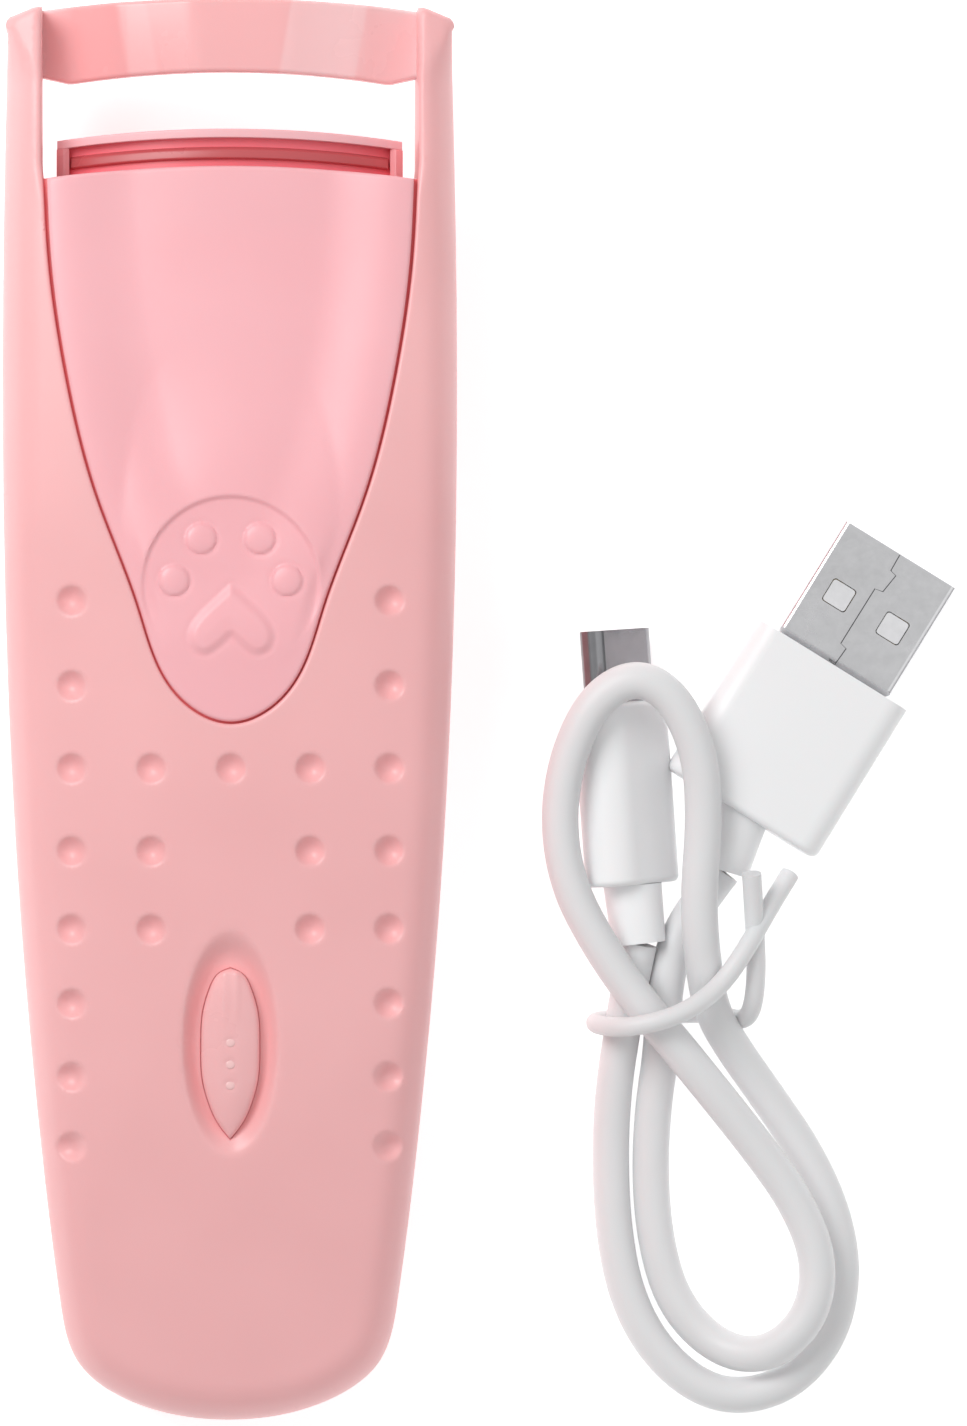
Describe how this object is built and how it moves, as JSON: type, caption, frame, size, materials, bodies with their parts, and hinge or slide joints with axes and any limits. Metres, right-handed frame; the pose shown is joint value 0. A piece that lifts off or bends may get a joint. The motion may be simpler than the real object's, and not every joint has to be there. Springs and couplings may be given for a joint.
{
  "type": "heated eyelash curler",
  "caption": "Hand-held heated eyelash curler with a curved crossbar, a sliding jaw closed by a spoon-shaped thumb lever, a push button and a tied charging lead.",
  "frame": {"origin": "centre of the underside of the curler lying on its back, without its charging lead", "axes": "+Y runs from the tail to the crossbar head, +Z comes out of the front with the lever, +X is to the right"},
  "size_m": [0.0879, 0.13, 0.0229],
  "materials": {
    "shell_pink": "satin gloss pink plastic",
    "rear_pink": "satin gloss pink plastic",
    "lever_pink": "satin gloss pink plastic",
    "jaw_pink": "gloss pink plastic",
    "pad_silicone": "matt silicone",
    "heater_strip": "smooth coated strip",
    "button_pink": "satin gloss pink plastic",
    "light_window": "pale translucent plastic",
    "steel": "bright steel",
    "spring_steel": "drawn wire",
    "bumper_rubber": "matt rubber",
    "carriage_plastic": "natural moulded plastic",
    "board": "green solder mask",
    "black_plastic": "moulded black plastic",
    "led": "clear lens",
    "cell_wrap": "shrink wrap",
    "foam": "closed cell foam",
    "lead_red": "insulated wire",
    "cord_white": "white cable jacket",
    "plug_white": "white moulded plastic",
    "plug_steel": "bright nickel plate",
    "contact_gold": "gold plate"
  },
  "bodies": {
    "handle": {"front_shell": "shell_pink", "rear_shell": "rear_pink", "case_screws": "steel", "lever_pin": "steel", "return_spring": "spring_steel", "lever_bumper": "bumper_rubber", "guide_screw": "steel", "button_switch": "black_plastic", "circuit_board": "board", "board_parts": "black_plastic", "board_screws": "steel", "indicator_leds": "led", "usb_c_socket": "plug_steel", "usb_c_tongue": "black_plastic", "battery": "cell_wrap", "battery_pad": "foam", "battery_leads": "lead_red", "heater_leads": "lead_red"},
    "lever": {"press_lever": "lever_pink"},
    "jaw": {"jaw_carriage": "carriage_plastic", "jaw_frame": "jaw_pink", "jaw_screws": "steel", "heating_strip": "heater_strip", "lash_pad": "pad_silicone", "temperature_sensor": "black_plastic"},
    "button": {"power_button": "button_pink", "button_lights": "light_window", "switch_plunger": "black_plastic"},
    "charging_cable": {"charging_cord": "cord_white", "cable_tie": "cord_white", "usb_a_shell": "plug_steel", "usb_a_insulator": "plug_white", "usb_a_contacts": "contact_gold", "usb_a_overmould": "plug_white", "usb_a_strain_relief": "plug_white", "usb_c_shell": "plug_steel", "usb_c_overmould": "plug_white", "usb_c_strain_relief": "plug_white"}
  },
  "joints": [
    {"name": "lever_hinge", "type": "hinge", "parent": "handle", "child": "lever", "pos_m": [0, 0.034, 0.0186], "axis": [1, 0, 0], "range_deg": [0, 19.18], "stiffness_Nm_per_rad": 0.25, "springref_deg": -1.15, "deforming": ["return_spring"]},
    {"name": "jaw_slide", "type": "slide", "parent": "handle", "child": "jaw", "axis": [0, 1, 0], "range_m": [0, 0.0046]},
    {"name": "button_press", "type": "slide", "parent": "handle", "child": "button", "axis": [0, 0, -1], "range_m": [0, 0.0006], "stiffness_N_per_m": 400, "springref_m": -0.0001},
    {"name": "cable_set_aside", "type": "slide", "parent": "handle", "child": "charging_cable", "axis": [1, 0, 0], "range_m": [0, 0.03]}
  ],
  "couplings": [
    {"joint": "jaw_slide", "follows": "lever_hinge", "m_per_rad": 0.01374}
  ]
}
